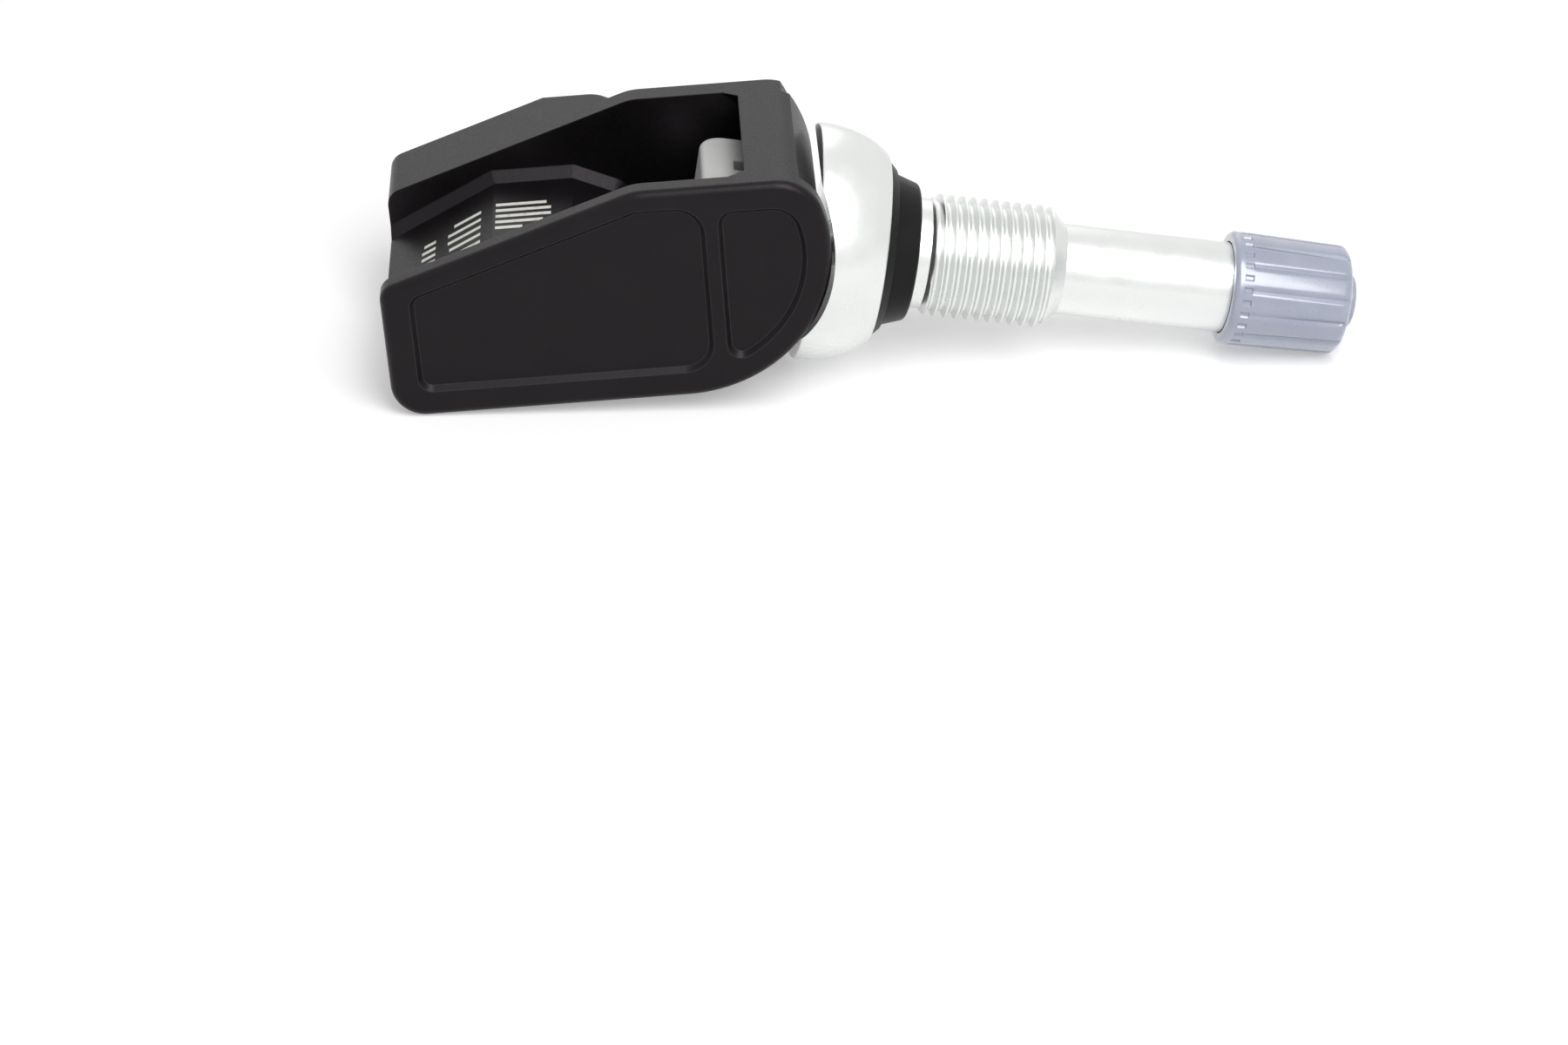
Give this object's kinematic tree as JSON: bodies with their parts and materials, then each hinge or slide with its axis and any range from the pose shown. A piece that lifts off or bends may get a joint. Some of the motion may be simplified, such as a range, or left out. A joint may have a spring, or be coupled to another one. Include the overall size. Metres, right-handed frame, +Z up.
{
  "type": "tyre pressure sensor",
  "caption": "Clamp-in tyre pressure sensor: black two-cheek housing that tilts on an aluminium valve with domed flange, rubber grommet, clamp thread and ribbed cap.",
  "frame": {"origin": "middle of the ground under the part as it lies on the housing's foot and the cap's end", "axes": "+X along the part towards the valve's tip, +Y away from the cheek with the sunk panels, +Z up"},
  "size_m": [0.0866, 0.0272, 0.0223],
  "materials": {
    "housing_black": "moulded, satin black",
    "valve_aluminium": "turned, bright",
    "saddle_metal": "die cast, matt light grey",
    "seal_rubber": "moulded, matt black",
    "bright_steel": "nickel plated",
    "core_brass": "turned",
    "winding_copper": "enamelled wire",
    "board_green": "solder mask",
    "chip_black": "moulded package",
    "ferrite_grey": "sintered ferrite",
    "capacitor_tan": "ceramic",
    "ring_white": "plain white",
    "cap_blue_grey": "moulded, semi-gloss blue grey"
  },
  "bodies": {
    "valve": {"valve_stem": "valve_aluminium", "stem_seal": "seal_rubber", "clamp_saddle": "saddle_metal", "clamp_screw": "bright_steel", "core_barrel": "core_brass", "core_ring": "ring_white", "core_spring": "bright_steel"},
    "housing": {"housing_shell": "housing_black", "bottom_cover": "housing_black", "circuit_board": "board_green", "battery_cell": "bright_steel", "battery_tab_lower": "bright_steel", "battery_tab_upper": "bright_steel", "sensor_chip": "chip_black", "port_seal": "seal_rubber", "coil_core": "ferrite_grey", "coil_winding": "winding_copper", "crystal_can": "bright_steel", "chip_capacitors": "capacitor_tan", "antenna_strip": "core_brass"},
    "core_plunger": {"core_pin": "core_brass", "core_washer": "seal_rubber"},
    "cap_liner": {"cap_gasket": "seal_rubber"},
    "cap": {"cap_shell": "cap_blue_grey"}
  },
  "joints": [
    {"name": "housing_tilt", "type": "hinge", "parent": "valve", "child": "housing", "pos_m": [-0.01762, -0.00305, 0.01483], "axis": [0, 1, 0], "range_deg": [-18, 12]},
    {"name": "core_press", "type": "slide", "parent": "valve", "child": "core_plunger", "axis": [0.9903, 0, -0.139], "range_m": [-0.002, 0], "stiffness_N_per_m": 500, "springref_m": 0.0015, "deforming": ["core_spring"]},
    {"name": "cap_lift", "type": "slide", "parent": "valve", "child": "cap_liner", "axis": [0.9903, 0, -0.139], "range_m": [0, 0.00715]},
    {"name": "cap_spin", "type": "hinge", "parent": "cap_liner", "child": "cap", "pos_m": [-0.01786, -0.00305, 0.01314], "axis": [0.9903, 0, -0.139], "range_deg": [0, 3240]}
  ],
  "couplings": [
    {"joint": "cap_spin", "follows": "cap_lift", "rad_per_m": 7913.3}
  ]
}
